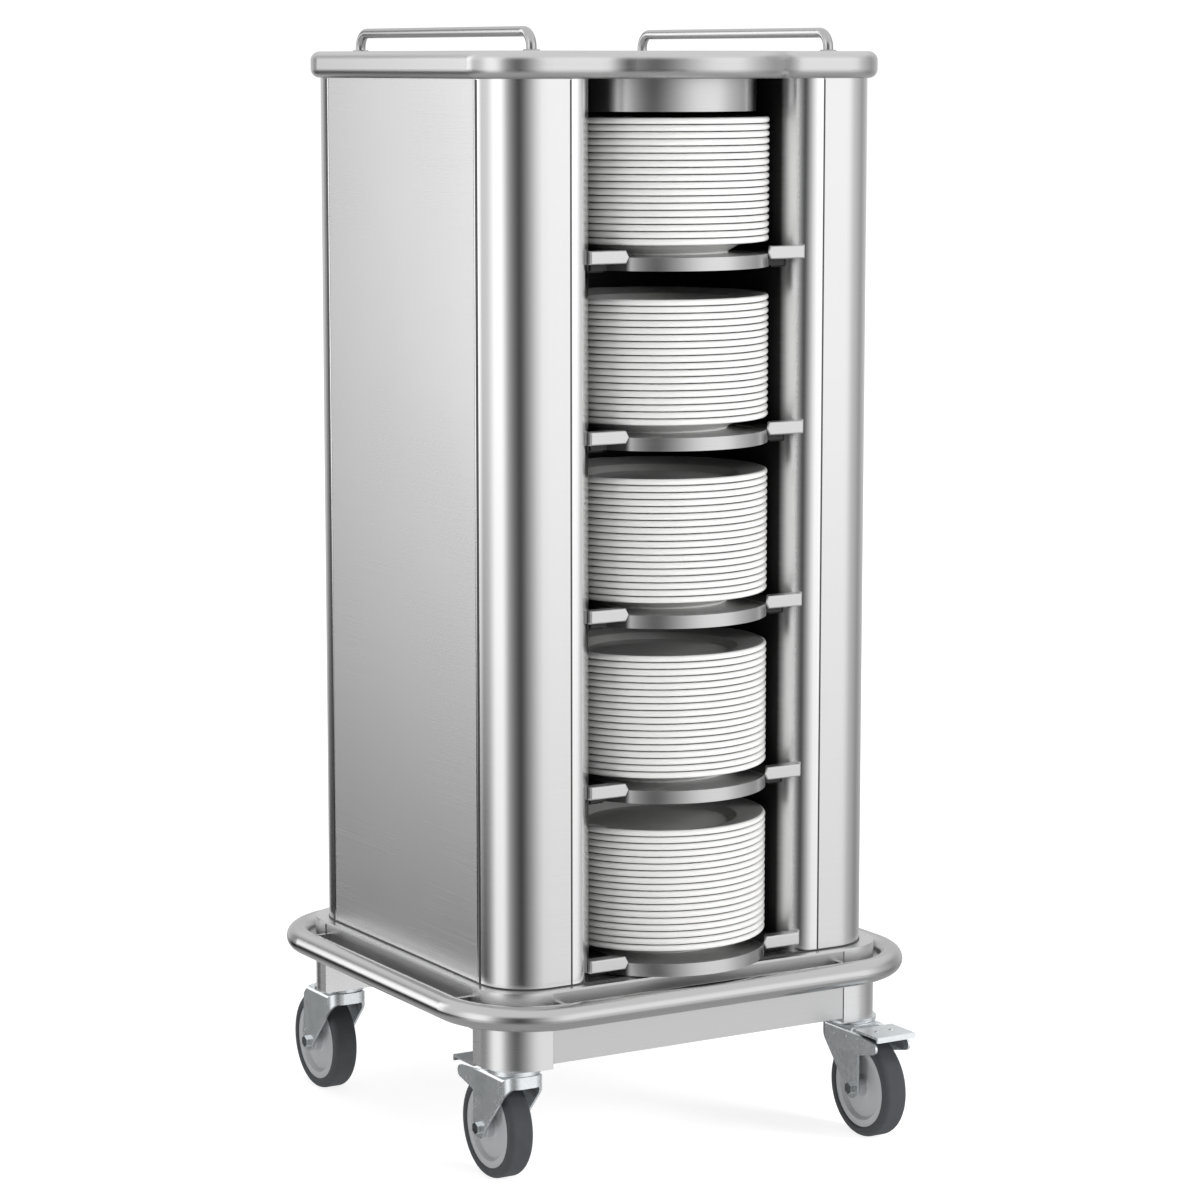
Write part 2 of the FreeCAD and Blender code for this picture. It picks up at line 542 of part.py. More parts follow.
def fork_form(inset):
    """Outer form of the pressed fork with rounded corners, or its hollow one sheet inside."""
    half, top, front = FORK_HALF - inset, CROWN_TOP - inset, inset - FORK_FRONT
    bend, corner = FORK_BEND - inset, FORK_CORNER - inset
    low = WHEEL_RADIUS - FORK_END_RADIUS - inset
    back = FORK_EAR_REACH + inset
    k, m = bend * (1 - math.sqrt(0.5)), corner * (1 - math.sqrt(0.5))
    section = flat_face([
        (-half, low), (half, low), (half, top - bend), (half - k, top - k, half - bend, top),
        (-half + bend, top), (-half + k, top - k, -half, top - bend), (-half, low),
    ], lambda a, b: Vector(a, front, b)).extrude(Vector(0, back - front, 0))
    plan = flat_face([
        (-half, back), (-half, front + corner), (-half + m, front + m, -half + corner, front),
        (half - corner, front), (half - m, front + m, half, front + corner), (half, back), (-half, back),
    ], lambda a, b: Vector(a, b, low)).extrude(Vector(0, 0, top - low))
    return section.common(plan)


def fork_side(braked):
    """Side outline of the fork; a braked one has ears that reach back over the tyre."""
    axle_z, end = WHEEL_RADIUS, FORK_END_RADIUS
    lean = end * math.sqrt(0.5)
    back = CASTER_TRAIL + end
    top = [(-FORK_FRONT, CROWN_TOP), (CROWN_RADIUS, CROWN_TOP)]
    if braked:
        press = math.tan(math.radians(PEDAL_TURN))
        pad_base = PEDAL_PIN_Z - PEDAL_SHEET / 2 + PEDAL_PAD_RISE
        near_y = CROWN_RADIUS + FORK_SHEET
        near_z = pad_base - (near_y - PEDAL_PIN_Y) * press - PEDAL_EAR_GAP
        tip_z = pad_base - (FORK_EAR_REACH - PEDAL_PIN_Y) * press - PEDAL_EAR_GAP
        half = FORK_EAR_HEIGHT / 2
        top += [(CROWN_RADIUS, near_z), (FORK_EAR_REACH - half, tip_z),
                (FORK_EAR_REACH, tip_z - half, FORK_EAR_REACH - half, tip_z - 2 * half),
                (back, CROWN_TOP - FORK_EAR_DROP)]
    else:
        top += [(back - FORK_SHEET, CROWN_TOP - FORK_SKIRT)]
    return top + [
        (back, axle_z), (CASTER_TRAIL, axle_z - end, CASTER_TRAIL - lean, axle_z - lean),
        (CASTER_TRAIL - end, axle_z), (FORK_SKIRT_BACK, CROWN_TOP - FORK_SKIRT),
        (-FORK_FRONT, CROWN_TOP - FORK_SKIRT), (-FORK_FRONT, CROWN_TOP),
    ]


def make_fork(braked):
    side = flat_face(fork_side(braked), lambda a, b: Vector(-FORK_HALF, a, b))
    legs = fork_form(0).cut(fork_form(FORK_SHEET)).common(side.extrude(Vector(2 * FORK_HALF, 0, 0)))
    crown = Part.makeCylinder(CROWN_BOSS_RADIUS, CROWN_THICKNESS, Vector(0, 0, CROWN_BOTTOM))
    fork = legs.fuse(crown).removeSplitter()
    holes = [
        Part.makeCylinder(STEM_RADIUS + KINGPIN_CLEARANCE, CROWN_THICKNESS, Vector(0, 0, CROWN_BOTTOM)),
        cross_rod(AXLE_RADIUS, FORK_HALF, CASTER_TRAIL, WHEEL_RADIUS),
    ]
    if braked:
        holes.append(cross_rod(PEDAL_PIN_RADIUS + AXLE_CLEARANCE, FORK_HALF, PEDAL_PIN_Y, PEDAL_PIN_Z))
    return fork.cut(holes)


def make_axle():
    axle = cross_rod(AXLE_RADIUS, FORK_HALF, CASTER_TRAIL, WHEEL_RADIUS)
    heads = [hex_prism(AXLE_HEAD_RADIUS, AXLE_HEAD_HEIGHT, Vector(s * FORK_HALF, CASTER_TRAIL, WHEEL_RADIUS),
                       Vector(s, 0, 0)) for s in (-1, 1)]
    return axle.fuse(heads).removeSplitter()


def turned_wheel(points):
    """Revolve a profile of (half width along X, radius) about the axle."""
    face = flat_face(points, lambda a, b: Vector(a, CASTER_TRAIL, WHEEL_RADIUS + b))
    return face.revolve(Vector(0, CASTER_TRAIL, WHEEL_RADIUS), Vector(1, 0, 0), 360)


def make_hub():
    boss, web, rim = HUB_BOSS_WIDTH / 2, HUB_WEB_WIDTH / 2, HUB_RIM_WIDTH / 2
    bore = AXLE_RADIUS + AXLE_CLEARANCE
    inner_rim = HUB_RADIUS - HUB_RIM_BAND
    right_side = [(boss, bore), (boss, HUB_BOSS_RADIUS - 2), (boss - 2, HUB_BOSS_RADIUS),
                  (web + 2, HUB_BOSS_RADIUS), (web, HUB_BOSS_RADIUS + 3), (web, inner_rim - 3),
                  (rim - 1, inner_rim), (rim, inner_rim + 1), (rim, HUB_RADIUS)]
    left_side = [(-x, r) for x, r in reversed(right_side)]
    return turned_wheel(right_side + left_side + [right_side[0]])


def make_tyre():
    half, shoulder, rim = TYRE_WIDTH / 2, TYRE_SHOULDER, HUB_RIM_WIDTH / 2
    side = WHEEL_RADIUS - shoulder
    bulge = shoulder * math.sqrt(0.5)
    return turned_wheel([
        (-rim, HUB_RADIUS), (rim, HUB_RADIUS), (half, HUB_RADIUS + half - rim), (half, side),
        (half - shoulder + bulge, side + bulge, half - shoulder, WHEEL_RADIUS),
        (-half + shoulder, WHEEL_RADIUS),
        (-half + shoulder - bulge, side + bulge, -half, side),
        (-half, HUB_RADIUS + half - rim), (-rim, HUB_RADIUS),
    ])


def make_pedal():
    eye = cross_rod(PEDAL_EYE_RADIUS, PEDAL_ARM_WIDTH / 2, PEDAL_PIN_Y, PEDAL_PIN_Z)
    pin = cross_rod(PEDAL_PIN_RADIUS, FORK_HALF, PEDAL_PIN_Y, PEDAL_PIN_Z)
    low, high = PEDAL_PIN_Z - PEDAL_SHEET / 2, PEDAL_PIN_Z + PEDAL_SHEET / 2
    base, top = low + PEDAL_PAD_RISE, high + PEDAL_PAD_RISE
    bend_y = CROWN_RADIUS + 2 * PEDAL_SHEET
    lip_y, lip_z = PEDAL_PAD_END - PEDAL_SHEET, top - PEDAL_LIP
    arm = bent_strip([
        (PEDAL_PIN_Y, low), (bend_y, low), (PEDAL_PAD_START, base), (PEDAL_PAD_START, top),
        (bend_y, high), (PEDAL_PIN_Y, high), (PEDAL_PIN_Y, low),
    ], PEDAL_ARM_WIDTH)
    pad = bent_strip([
        (PEDAL_PAD_START, base), (lip_y, base), (lip_y, lip_z), (PEDAL_PAD_END, lip_z),
        (PEDAL_PAD_END, top), (PEDAL_PAD_START, top), (PEDAL_PAD_START, base),
    ], PEDAL_PAD_WIDTH)
    return eye.fuse([pin, arm, pad]).removeSplitter()


def make_casters():
    head, axle, hub, tyre, pedal = make_head(), make_axle(), make_hub(), make_tyre(), make_pedal()
    forks = {braked: make_fork(braked) for braked in (False, True)}
    nut = hex_prism(NUT_RADIUS, NUT_HEIGHT, Vector(0, 0, SOCKET_BOTTOM + SOCKET_FLOOR), Vector(0, 0, 1))
    nut = nut.cut(Part.makeCylinder(STEM_RADIUS, NUT_HEIGHT, Vector(0, 0, SOCKET_BOTTOM + SOCKET_FLOOR)))
    nuts = []
    for place, (x, y, angle, braked) in CASTERS.items():
        spot = Vector(x, y, 0)
        turn = Rotation(Vector(0, 0, 1), angle)
        pieces = {"caster_head": head, "fork": forks[braked], "axle": axle, "wheel_hub": hub, "tyre": tyre}
        if braked:
            pieces["brake_pedal"] = pedal
        for name, shape in pieces.items():
            save(name + "_" + place, copy_at(shape, spot, turn))
        nuts.append(copy_at(nut, spot))
    save("stem_nuts", *nuts)


os.makedirs("parts", exist_ok=True)
make_chassis()
make_bumper()
make_cabinet()
make_shelves()
make_plates()
make_top()
make_casters()
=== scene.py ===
import bpy
import math
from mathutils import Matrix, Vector


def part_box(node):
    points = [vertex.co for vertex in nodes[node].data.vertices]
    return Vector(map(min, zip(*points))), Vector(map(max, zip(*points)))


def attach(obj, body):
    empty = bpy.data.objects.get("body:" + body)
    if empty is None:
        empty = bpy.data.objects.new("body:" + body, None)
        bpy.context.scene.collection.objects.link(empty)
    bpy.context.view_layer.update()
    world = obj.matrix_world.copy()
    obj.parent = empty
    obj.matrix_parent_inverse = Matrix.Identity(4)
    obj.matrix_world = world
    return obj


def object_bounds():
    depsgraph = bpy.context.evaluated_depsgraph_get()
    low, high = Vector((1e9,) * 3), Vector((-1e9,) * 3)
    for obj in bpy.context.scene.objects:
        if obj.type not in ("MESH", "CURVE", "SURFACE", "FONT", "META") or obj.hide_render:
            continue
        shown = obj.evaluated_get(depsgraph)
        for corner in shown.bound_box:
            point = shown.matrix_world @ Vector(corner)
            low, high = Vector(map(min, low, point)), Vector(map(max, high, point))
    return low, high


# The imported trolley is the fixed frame: every finish and every added piece takes its place from it.
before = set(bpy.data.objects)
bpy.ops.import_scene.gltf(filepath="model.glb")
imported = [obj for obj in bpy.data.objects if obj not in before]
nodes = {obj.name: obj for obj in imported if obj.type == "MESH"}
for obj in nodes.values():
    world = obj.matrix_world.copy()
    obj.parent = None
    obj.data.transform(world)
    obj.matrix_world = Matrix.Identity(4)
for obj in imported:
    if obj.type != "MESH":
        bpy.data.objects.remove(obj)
cad_low, cad_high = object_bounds()
places = ("front_left", "front_right", "back_left", "back_right")


# Outer cabinet skin: flat side panels, rounded corner posts, the top cover and the collars under it.
# All are thin stainless sheet, brushed along the horizontal and folded on a press brake.
# Grain is drawn as streaks that run along the sheet, so highlights stay sharp across the bends.
class Level:
    """One socket of a finish. Arithmetic on it adds Math nodes."""

    def __init__(self, finish, socket):
        self.finish = finish
        self.socket = socket

    def math(self, operation, left, right):
        return self.finish.node("ShaderNodeMath", {"operation": operation}, {0: left, 1: right})

    def __add__(self, other):
        return self.math("ADD", self, other)

    __radd__ = __add__

    def __sub__(self, other):
        return self.math("SUBTRACT", self, other)

    def __rsub__(self, other):
        return self.math("SUBTRACT", other, self)

    def __mul__(self, other):
        return self.math("MULTIPLY", self, other)

    __rmul__ = __mul__

    def __abs__(self):
        return self.math("ABSOLUTE", self, 0)


class Nodes:
    """A node tree that is built up by plain calls."""

    def __init__(self, tree):
        self.tree = tree

    def node(self, kind, settings=None, sockets=None, output=0):
        made = self.tree.nodes.new(kind)
        for key, value in (settings or {}).items():
            if key == "stops":
                ramp = made.color_ramp.elements
                while len(ramp) < len(value):
                    ramp.new(0.5)
                for element, (position, colour) in zip(ramp, value):
                    element.position = position
                    element.color = colour
            else:
                setattr(made, key, value)
        for key, value in (sockets or {}).items():
            self.feed(made.inputs[key], value)
        return Level(self, made.outputs[output])

    def feed(self, socket, value):
        if isinstance(value, Level):
            self.tree.links.new(value.socket, socket)
        else:
            socket.default_value = value

    def ramp(self, factor, stops):
        return self.node("ShaderNodeValToRGB", {"stops": stops}, {0: factor})

    def span(self, value, start, end):
        """Rises smoothly from 0 at start to 1 at end."""
        return self.node("ShaderNodeMapRange", {"interpolation_type": "SMOOTHSTEP"},
                         {"Value": value, "From Min": start, "From Max": end})


class Finish(Nodes):
    """A procedural material: a principled shader and the nodes that feed it."""

    def __init__(self, name):
        self.material = bpy.data.materials.new(name)
        self.material.use_nodes = True
        super().__init__(self.material.node_tree)
        self.shader = self.tree.nodes["Principled BSDF"]

    def set(self, **sockets):
        for key, value in sockets.items():
            self.feed(self.shader.inputs[key.replace("_", " ")], value)
        return self.material

    def place(self):
        return self.node("ShaderNodeTexCoord", output="Object")

    def streaks(self, stretch, detail=4.0):
        """Noise drawn out along one axis: stretch is its scale along X, Y and Z per metre."""
        spot = self.node("ShaderNodeMapping", {}, {"Vector": self.place(), "Scale": stretch})
        return self.node("ShaderNodeTexNoise", {},
                         {"Vector": spot, "Scale": 1.0, "Detail": detail, "Roughness": 0.6})

    def clouds(self, scale, detail=3.0):
        return self.node("ShaderNodeTexNoise", {},
                         {"Vector": self.place(), "Scale": scale, "Detail": detail})

    def blend(self, factor, first, second):
        return self.node("ShaderNodeMix", {"data_type": "RGBA"},
                         {0: factor, 6: first, 7: second}, output=2)

    def bump(self, height, strength, distance):
        return self.node("ShaderNodeBump", {},
                         {"Height": height, "Strength": strength, "Distance": distance})


def grey(value):
    return (value, value, value, 1.0)


def brushed_steel(name, tone, rough, stretch, contrast, spread=0.6):
    """Tone is the steel's grey, contrast how far its streaks depart from it, spread its anisotropy."""
    finish = Finish(name)
    grain = finish.streaks(stretch)
    stain = finish.clouds(5.0)
    colour = finish.blend(grain, grey(tone - contrast), grey(tone + contrast))
    finish.set(Base_Color=colour, Metallic=1.0, Anisotropic=spread, Anisotropic_Rotation=0.25,
               Roughness=grain * 0.08 + stain * 0.05 + (rough - 0.065),
               Normal=finish.bump(grain, 0.06, 0.0002))
    return finish.material


def dress(material, *names):
    for name in names:
        nodes[name].data.materials.clear()
        nodes[name].data.materials.append(material)


ALONG_Y = (900.0, 3.0, 900.0)
ALONG_RING = (4.0, 4.0, 900.0)
panel_steel = brushed_steel("brushed side sheet", 0.57, 0.26, ALONG_Y, 0.035)
post_steel = brushed_steel("brushed corner sheet", 0.66, 0.17, ALONG_RING, 0.03)
cover_steel = brushed_steel("brushed cover sheet", 0.60, 0.30, ALONG_RING, 0.04)
dress(panel_steel, "left_side_panel", "right_side_panel")
dress(post_steel, *["corner_post_" + p for p in places])
dress(cover_steel, "top_cover", "roof_panel", "bay_collars")


# Seam seals: dark strips fill the upright joints between corner posts, side sheets and jambs; their
# darkness is partly painted shade of the gaps, and the side strips are widened for it.
# Beside each side joint the sheet has a slim folded hem that catches the light.
# One more bead runs round the cabinet's foot, where it stands on the deck.
def finish_piece(name, material, body, angle=40.0):
    piece = bpy.context.object
    bpy.ops.object.transform_apply(location=True, rotation=True, scale=True)
    bpy.ops.object.mode_set(mode="EDIT")
    bpy.ops.mesh.select_all(action="SELECT")
    bpy.ops.mesh.normals_make_consistent(inside=False)
    bpy.ops.object.mode_set(mode="OBJECT")
    bpy.ops.object.shade_smooth_by_angle(angle=math.radians(angle))
    piece.name = name
    piece.data.name = name
    piece.data.materials.clear()
    piece.data.materials.append(material)
    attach(piece, body)
    return piece


def pick(piece, test):
    """Selects the faces of the piece whose middle and normal pass the test, and goes into edit mode."""
    bpy.ops.object.mode_set(mode="EDIT")
    bpy.ops.mesh.select_all(action="DESELECT")
    bpy.ops.object.mode_set(mode="OBJECT")
    for face in piece.data.polygons:
        face.select = test(face.center, face.normal)
    bpy.ops.object.mode_set(mode="EDIT")


def fresh():
    bpy.ops.object.select_all(action="DESELECT")


def copy_piece(piece, shift, turn, name, body):
    """A copy with its own mesh, turned about Z in quarter turns and then moved."""
    fresh()
    piece.select_set(True)
    bpy.context.view_layer.objects.active = piece
    bpy.ops.object.duplicate(linked=False)
    twin = bpy.context.object
    twin.parent = None
    twin.rotation_euler = (0, 0, turn * math.pi / 2)
    twin.location = shift
    bpy.ops.object.transform_apply(location=True, rotation=True, scale=True)
    twin.name = name
    twin.data.name = name
    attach(twin, body)
    return twin


STRIP_PROUD = 0.0005
STRIP_TUCK = 0.0008
STRIP_ROUND = 0.0004
STRIP_END_GAP = 0.001
SIDE_SEAM = 0.0046
JAMB_SEAM = 0.0022
HEM_WIDTH = 0.0036
# Near-black strips: the joints themselves, darkened further as painted shade of their gaps.
seal = Finish("dark joints with painted gap shade")
film = seal.clouds(70.0)
seal.set(Base_Color=seal.blend(film, grey(0.02), grey(0.05)), Roughness=film * 0.2 + 0.35,
         Normal=seal.bump(film, 0.1, 0.0003))
post_low, post_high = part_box("corner_post_front_left")
strip_height = post_high.z - post_low.z - 2 * STRIP_END_GAP
strip_z = (post_low.z + post_high.z) / 2
strip_reach = (STRIP_PROUD - STRIP_TUCK) / 2


def upright_strip(name, width, material):
    """A strip that faces -X, as tall as the posts, with its outer edges rounded."""
    fresh()
    bpy.ops.mesh.primitive_cube_add(size=1.0, location=(0, 0, 0))
    piece = bpy.context.object
    piece.dimensions = (STRIP_PROUD + STRIP_TUCK, width, strip_height)
    bpy.ops.object.transform_apply(scale=True)
    pick(piece, lambda middle, normal: normal.x < -0.5)
    bpy.ops.mesh.bevel(offset=STRIP_ROUND, segments=3, affect="EDGES")
    bpy.ops.object.mode_set(mode="OBJECT")
    return finish_piece(name, material, "trolley")


side_strip = upright_strip("side_strip", SIDE_SEAM, seal.material)
jamb_strip = upright_strip("jamb_strip", JAMB_SEAM, seal.material)
hem_strip = upright_strip("hem_strip", HEM_WIDTH, post_steel)
side_x = post_low.x - strip_reach
side_y = post_high.y
hem_y = side_y + (SIDE_SEAM + HEM_WIDTH) / 2
jamb_x = post_high.x
jamb_y = post_low.y - strip_reach
count = 0
for turn, sign in ((0, 1), (2, -1)):
    for end in (1, -1):
        count += 1
        copy_piece(side_strip, (sign * side_x, end * side_y, strip_z), turn,
                   "seam_seal_%d" % count, "trolley")
        copy_piece(hem_strip, (sign * side_x, end * hem_y, strip_z), turn,
                   "panel_hem_%d" % count, "trolley")
for turn, sign in ((1, 1), (3, -1)):
    for end in (1, -1):
        count += 1
        copy_piece(jamb_strip, (end * jamb_x, sign * jamb_y, strip_z), turn,
                   "seam_seal_%d" % count, "trolley")
for spare in (side_strip, jamb_strip, hem_strip):
    bpy.data.objects.remove(spare)

BEAD_RISE = 0.0016
BEAD_TUCK = 0.0014
CORNER_ROUND = 0.060
CORNER_STEPS = 14
fresh()
bpy.ops.mesh.primitive_plane_add(size=1.0, location=(0, 0, post_low.z))
bead = bpy.context.object
bead.dimensions = (-2 * post_low.x + 2 * STRIP_PROUD, -2 * post_low.y + 2 * STRIP_PROUD, 0)
bpy.ops.object.transform_apply(location=True, scale=True)
bpy.ops.object.mode_set(mode="EDIT")
bpy.ops.mesh.select_all(action="SELECT")
bpy.ops.mesh.bevel(offset=CORNER_ROUND, segments=CORNER_STEPS, affect="VERTICES")
bpy.ops.mesh.select_all(action="SELECT")
bpy.ops.mesh.inset(thickness=STRIP_PROUD + BEAD_TUCK)
bpy.ops.mesh.delete(type="FACE")
bpy.ops.mesh.select_all(action="SELECT")
bpy.ops.mesh.extrude_region_move(TRANSFORM_OT_translate={"value": (0, 0, BEAD_RISE)})
bpy.ops.object.mode_set(mode="OBJECT")
finish_piece("base_seal", seal.material, "trolley")


# Bay walls, runners and partition: the walls roll outwards as bright jambs at each mouth of the bay.
# Inside the bay, from just behind the jamb to the partition, the walls are painted matt near-black:
# painted shade of the deep bay.
# The painted shade fades in over a short stretch behind the jamb, its edge broken up by the grain.
BAY_SHADE_START = 0.020
BAY_SHADE_FULL = 0.040
ROLL_START = 0.004
ROLL_FULL = 0.016
jamb = Finish("brushed jamb with painted bay shade")
spot = jamb.place()
north_south = jamb.node("ShaderNodeSeparateXYZ", {}, {0: spot}, output="Y")
half_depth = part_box("left_bay_wall")[1].y
depth = half_depth - abs(north_south)
grain = jamb.streaks(ALONG_RING)
# Painted shade: past the jamb the wall turns matt black and stops being metal, deeper into the bay.
bay_shade = jamb.span(depth + grain * 0.003, BAY_SHADE_START, BAY_SHADE_FULL)
roll = jamb.span(depth, ROLL_START, ROLL_FULL)
scuff = jamb.clouds(40.0)
bright = jamb.blend(grain, grey(0.76), grey(0.82))
jamb.set(Base_Color=jamb.blend(bay_shade, bright, grey(0.012)), Metallic=1 - bay_shade,
         Anisotropic=0.6, Anisotropic_Rotation=0.25,
         Roughness=grain * 0.1 + roll * 0.16 + bay_shade * (scuff * 0.2 + 0.35) + 0.12,
         Normal=jamb.bump(grain, 0.06, 0.0002))
dress(jamb.material, "left_bay_wall", "right_bay_wall")
# Partition and shelf runners: matt black all over, painted shade of the deep bay.
bay_shade_black = Finish("black painted bay shade")
scuff = bay_shade_black.clouds(40.0)
bay_shade_black.set(Base_Color=bay_shade_black.blend(scuff, grey(0.008), grey(0.016)), Specular_IOR_Level=0.2,
                Roughness=scuff * 0.2 + 0.42, Normal=bay_shade_black.bump(scuff, 0.05, 0.001))
dress(bay_shade_black.material, "centre_partition", "shelf_runners")


# Chassis under the cabinet: a folded deck sheet, round-fronted corner sockets and pressed beams.
# The beams are welded between the sockets and are of the same stainless sheet, a little rougher and
# toned darker: the darker tone is painted shade.
chassis_steel = brushed_steel("brushed chassis sheet", 0.70, 0.28, ALONG_RING, 0.04)
shaded_beam_steel = brushed_steel("brushed beam sheet toned for painted shade", 0.55, 0.30, ALONG_RING, 0.03)
dress(chassis_steel, "base_deck", *["corner_socket_" + p for p in places])
dress(shaded_beam_steel, "end_beams", "side_beams")


# Bumper rail and rod handles: bent stainless tube, ground and polished to a soft satin.
# The rod ends are set on the cover with a small ground weld bead round each foot.
EVEN_GRAIN = (400.0, 400.0, 400.0)
tube_steel = brushed_steel("satin tube", 0.53, 0.20, EVEN_GRAIN, 0.012, 0.0)
# The handle rods are the tube's steel toned darker: painted shade of the dark reflections under them.
dimmed_rod_steel = brushed_steel("rod steel dimmed for painted shade", 0.47, 0.17, EVEN_GRAIN, 0.012, 0.0)
dress(tube_steel, "bumper_rail", "bumper_brackets")
dress(dimmed_rod_steel, "left_handle", "right_handle")
WELD_RADIUS = 0.0075
WELD_WIDTH = 0.0026
WELD_SQUASH = 0.7
FLAT_LIFT = 0.00005


def flatten_dome(squash, seat):
    """Squashes a new primitive upright and cuts away what is below its seat."""
    bpy.ops.object.mode_set(mode="EDIT")
    bpy.ops.mesh.select_all(action="SELECT")
    bpy.ops.transform.resize(value=(1, 1, squash))
    bpy.ops.mesh.bisect(plane_co=(0, 0, seat + FLAT_LIFT), plane_no=(0, 0, 1),
                        use_fill=True, clear_inner=True)
    bpy.ops.object.mode_set(mode="OBJECT")


for side in ("left", "right"):
    low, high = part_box(side + "_handle")
    rod = high.x - low.x
    for end, y in (("front", low.y + rod / 2), ("back", high.y - rod / 2)):
        fresh()
        bpy.ops.mesh.primitive_torus_add(major_segments=48, minor_segments=12,
                                         major_radius=WELD_RADIUS, minor_radius=WELD_WIDTH,
                                         location=((low.x + high.x) / 2, y, low.z))
        flatten_dome(WELD_SQUASH, low.z)
        finish_piece("handle_weld_%s_%s" % (side, end), dimmed_rod_steel, "trolley")


# Shelves and stop bars: folded stainless, satin, with the round rims brushed along the curve.
# The shelf ends behind the stop bars are painted near-black, painted shade and painted dark reflection,
# so only the bright round rim shows in front.
SHELF_END_SHADE_START = 0.093
SHELF_END_SHADE_FULL = 0.099
shelf = Finish("satin shelf sheet with painted shade ends")
along = shelf.node("ShaderNodeSeparateXYZ", {}, {0: shelf.place()}, output="X")
grain = shelf.streaks(ALONG_RING)
# Painted shade: beyond the round rim's width the shelf turns black and stops being metal.
shelf_end_shade = shelf.span(abs(along), SHELF_END_SHADE_START, SHELF_END_SHADE_FULL)
satin = shelf.blend(grain, grey(0.56), grey(0.64))
shelf.set(Base_Color=shelf.blend(shelf_end_shade, satin, grey(0.02)), Metallic=1 - shelf_end_shade,
          Anisotropic=0.6, Anisotropic_Rotation=0.25, Roughness=grain * 0.12 + shelf_end_shade * 0.3 + 0.24,
          Normal=shelf.bump(grain, 0.06, 0.0002))
dress(shelf.material, *["shelf_%d" % level for level in range(1, 6)])
BAR_GRAIN = (300.0, 300.0, 300.0)
bar_steel = brushed_steel("satin stop bar", 0.62, 0.34, BAR_GRAIN, 0.02, 0.0)
dress(bar_steel, "stop_bars")


# Plates: thick hotel porcelain, pressed and fired, with a clear glossy glaze.
# They lie loose on the front shelves, nested by their foot rings, and the glaze pools a little unevenly.
glaze = Finish("white porcelain glaze")
dip = glaze.clouds(30.0)
glaze.set(Base_Color=glaze.blend(dip, (0.66, 0.66, 0.652, 1.0), (0.72, 0.72, 0.712, 1.0)),
          Roughness=dip * 0.08 + 0.14, Coat_Weight=0.3, Normal=glaze.bump(dip, 0.03, 0.001))
dress(glaze.material, *["plate_stack_%d" % level for level in range(1, 6)])


# Casters: pressed forks, heads and brake pedals, plated with bluish zinc, on bright bolts and nuts.
# The wheels are light grey moulded hubs with grey rubber tyres moulded on.
# Each pedal pad is riveted to its lever, which shows as two low rivet heads.
def zinc_plate(name, metal, rough):
    zinc = Finish(name)
    spangle = zinc.clouds(160.0)
    haze = zinc.clouds(18.0)
    return zinc.set(Base_Color=zinc.blend(spangle, (0.70, 0.73, 0.75, 1.0), (0.82, 0.85, 0.87, 1.0)),
                    Metallic=metal, Roughness=spangle * 0.10 + haze * 0.12 + rough,
                    Normal=zinc.bump(haze, 0.08, 0.001))


pressed_zinc = zinc_plate("pressed zinc plate", 0.85, 0.14)
bolt_zinc = zinc_plate("bright bolt zinc", 1.0, 0.06)
hub_plastic = Finish("grey hub plastic")
pebble = hub_plastic.clouds(900.0)
hub_plastic.set(Base_Color=hub_plastic.blend(pebble, (0.39, 0.40, 0.415, 1.0), (0.45, 0.46, 0.475, 1.0)),
                Roughness=pebble * 0.15 + 0.38, Normal=hub_plastic.bump(pebble, 0.05, 0.0004))
rubber = Finish("grey rubber tread")
dust = rubber.clouds(60.0)
nap = rubber.clouds(1400.0)
rubber.set(Base_Color=rubber.blend(dust, (0.036, 0.038, 0.043, 1.0), (0.052, 0.056, 0.062, 1.0)),
           Roughness=nap * 0.2 + 0.55, Normal=rubber.bump(nap, 0.12, 0.0005))
for place in places:
    dress(pressed_zinc, "fork_" + place, "caster_head_" + place)
    dress(bolt_zinc, "axle_" + place)
    dress(hub_plastic.material, "wheel_hub_" + place)
    dress(rubber.material, "tyre_" + place)
dress(bolt_zinc, "stem_nuts")
RIVET_RADIUS = 0.0034
RIVET_RISE = 0.0011
RIVET_APART = 0.011
PAD_MIDDLE = 0.027
for side in ("front_left", "front_right"):
    dress(pressed_zinc, "brake_pedal_" + side)
    low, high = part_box("brake_pedal_" + side)
    fork_low, fork_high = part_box("caster_head_" + side)
    outward = 1 if low.y + high.y > fork_low.y + fork_high.y else -1
    pad_y = high.y - PAD_MIDDLE if outward > 0 else low.y + PAD_MIDDLE
    for end, x in (("inner", -RIVET_APART), ("outer", RIVET_APART)):
        fresh()
        bpy.ops.mesh.primitive_uv_sphere_add(segments=24, ring_count=12, radius=RIVET_RADIUS,
                                             location=((low.x + high.x) / 2 + x, pad_y, high.z))
        flatten_dome(RIVET_RISE / RIVET_RADIUS, high.z)
        finish_piece("pedal_rivet_%s_%s" % (side, end), bolt_zinc, "pedal_" + side)


# Studio: a pale floor and a white sweep, with soft boxes and dark flags that the steel mirrors.
# The ring of light is drawn on the world by direction; the camera itself always sees plain white.
FLOOR_SIZE = 40.0
fresh()
bpy.ops.mesh.primitive_plane_add(size=FLOOR_SIZE, location=(0, 0, cad_low.z))
floor = bpy.context.object
floor.name = "studio_floor"
floor.visible_glossy = False
pale = Finish("pale floor")
far = pale.node("ShaderNodeVectorMath", {"operation": "LENGTH"}, {0: pale.place()}, output="Value")
pale.set(Base_Color=grey(0.45), Roughness=1.0, Specular_IOR_Level=0.0, Emission_Strength=1.0,
         Emission_Color=pale.blend(pale.span(far, 0.8, 4.0), grey(0.82), grey(1.1)))
floor.data.materials.append(pale.material)

